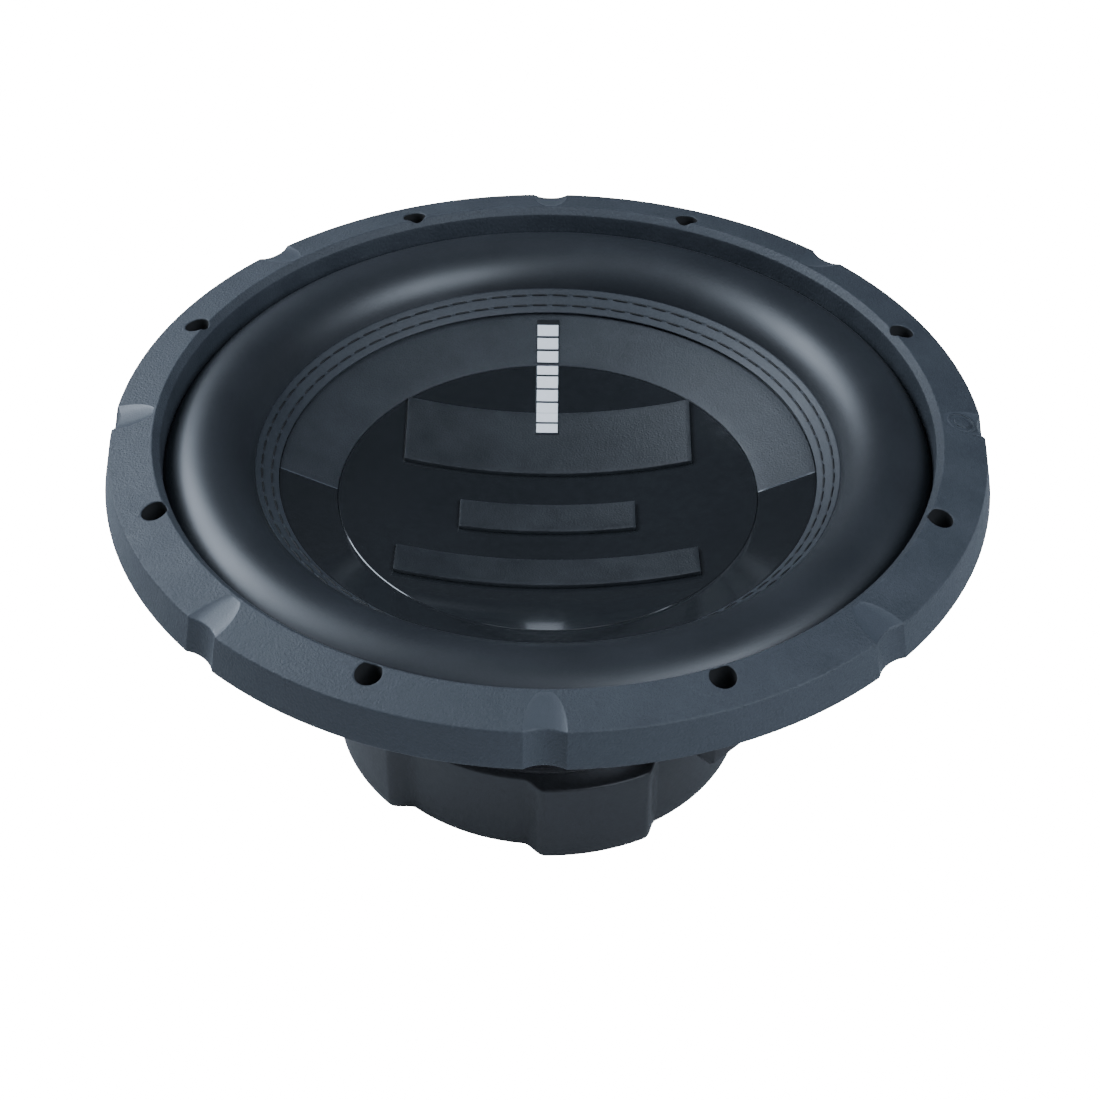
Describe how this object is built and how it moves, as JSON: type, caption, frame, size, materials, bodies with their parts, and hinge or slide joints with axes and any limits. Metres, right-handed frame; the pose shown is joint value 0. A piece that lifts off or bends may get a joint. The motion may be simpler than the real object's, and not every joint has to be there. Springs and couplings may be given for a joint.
{
  "type": "car subwoofer speaker",
  "caption": "Round car subwoofer driver: rubber trim ring, half-roll surround, dished cone with raised bars, stamped basket, ferrite motor in a rubber boot, push terminals.",
  "frame": {"origin": "centre of the magnet boot's underside, on the driver's axis", "axes": "+Z along the driver's axis, from the motor towards the cone; +X towards the notch with the round boss"},
  "size_m": [0.324, 0.324, 0.1474],
  "materials": {
    "basket_steel": "satin black powder coat",
    "trim_rubber": "fine matt moulded texture, charcoal",
    "surround_rubber": "smooth satin black",
    "band_rubber": "matt, stitched",
    "spider_cloth": "resin-stiffened woven cloth",
    "plate_steel": "zinc plated",
    "ferrite": "dark sintered ferrite",
    "aluminium": "turned",
    "copper": "bright copper",
    "copper_wire": "enamelled wire",
    "boot_rubber": "matt moulded black",
    "screen_steel": "black perforated sheet",
    "black_screw_steel": "black oxide",
    "zinc_screw_steel": "zinc plated",
    "terminal_plastic": "fine textured moulded black",
    "contact_brass": "plain",
    "spring_steel": "drawn wire",
    "red_plastic": "moulded red",
    "black_plastic": "moulded black",
    "tinsel_braid": "tinned copper braid",
    "cone_matte": "fine matt texture, charcoal",
    "cap_gloss": "gloss black",
    "former_film": "amber film",
    "collar_paper": "black paper wrap"
  },
  "bodies": {
    "basket_body": {"basket": "basket_steel", "gasket_ring": "trim_rubber", "surround": "surround_rubber", "spider": "spider_cloth", "top_plate": "plate_steel", "magnet_upper": "ferrite", "magnet_lower": "ferrite", "yoke": "plate_steel", "shorting_ring": "aluminium", "pole_cap": "copper", "magnet_boot": "boot_rubber", "vent_screen": "screen_steel", "motor_screws": "black_screw_steel", "terminal_block_left": "terminal_plastic", "terminal_block_right": "terminal_plastic", "terminal_screws": "zinc_screw_steel", "contacts_left": "contact_brass", "contacts_right": "contact_brass", "button_spring_left_red": "spring_steel", "button_spring_left_black": "spring_steel", "button_spring_right_red": "spring_steel", "button_spring_right_black": "spring_steel", "tinsel_lead_left_a": "tinsel_braid", "tinsel_lead_left_b": "tinsel_braid", "tinsel_lead_right_a": "tinsel_braid", "tinsel_lead_right_b": "tinsel_braid"},
    "cone_body": {"cone": "cone_matte", "edge_band": "band_rubber", "centre_cap": "cap_gloss", "upper_bar": "cone_matte", "middle_bar": "cone_matte", "lower_bar": "cone_matte", "coil_former": "former_film", "coil_collar": "collar_paper", "voice_coil_inner": "copper_wire", "voice_coil_outer": "copper_wire", "lead_eyelets": "contact_brass"},
    "button_left_red_body": {"button_left_red": "red_plastic"},
    "button_left_black_body": {"button_left_black": "black_plastic"},
    "button_right_red_body": {"button_right_red": "red_plastic"},
    "button_right_black_body": {"button_right_black": "black_plastic"}
  },
  "joints": [
    {"name": "cone_excursion", "type": "slide", "parent": "basket_body", "child": "cone_body", "axis": [0, 0, 1], "range_m": [-0.011, 0.011], "stiffness_N_per_m": 6800, "springref_m": 0.0003, "deforming": ["surround", "spider", "tinsel_lead_left_a", "tinsel_lead_left_b", "tinsel_lead_right_a", "tinsel_lead_right_b"]},
    {"name": "press_left_red", "type": "slide", "parent": "basket_body", "child": "button_left_red_body", "axis": [0, 0, 1], "range_m": [0, 0.003], "stiffness_N_per_m": 600, "springref_m": -0.004, "deforming": ["button_spring_left_red"]},
    {"name": "press_left_black", "type": "slide", "parent": "basket_body", "child": "button_left_black_body", "axis": [0, 0, 1], "range_m": [0, 0.003], "stiffness_N_per_m": 600, "springref_m": -0.004, "deforming": ["button_spring_left_black"]},
    {"name": "press_right_red", "type": "slide", "parent": "basket_body", "child": "button_right_red_body", "axis": [0, 0, 1], "range_m": [0, 0.003], "stiffness_N_per_m": 600, "springref_m": -0.004, "deforming": ["button_spring_right_red"]},
    {"name": "press_right_black", "type": "slide", "parent": "basket_body", "child": "button_right_black_body", "axis": [0, 0, 1], "range_m": [0, 0.003], "stiffness_N_per_m": 600, "springref_m": -0.004, "deforming": ["button_spring_right_black"]}
  ]
}
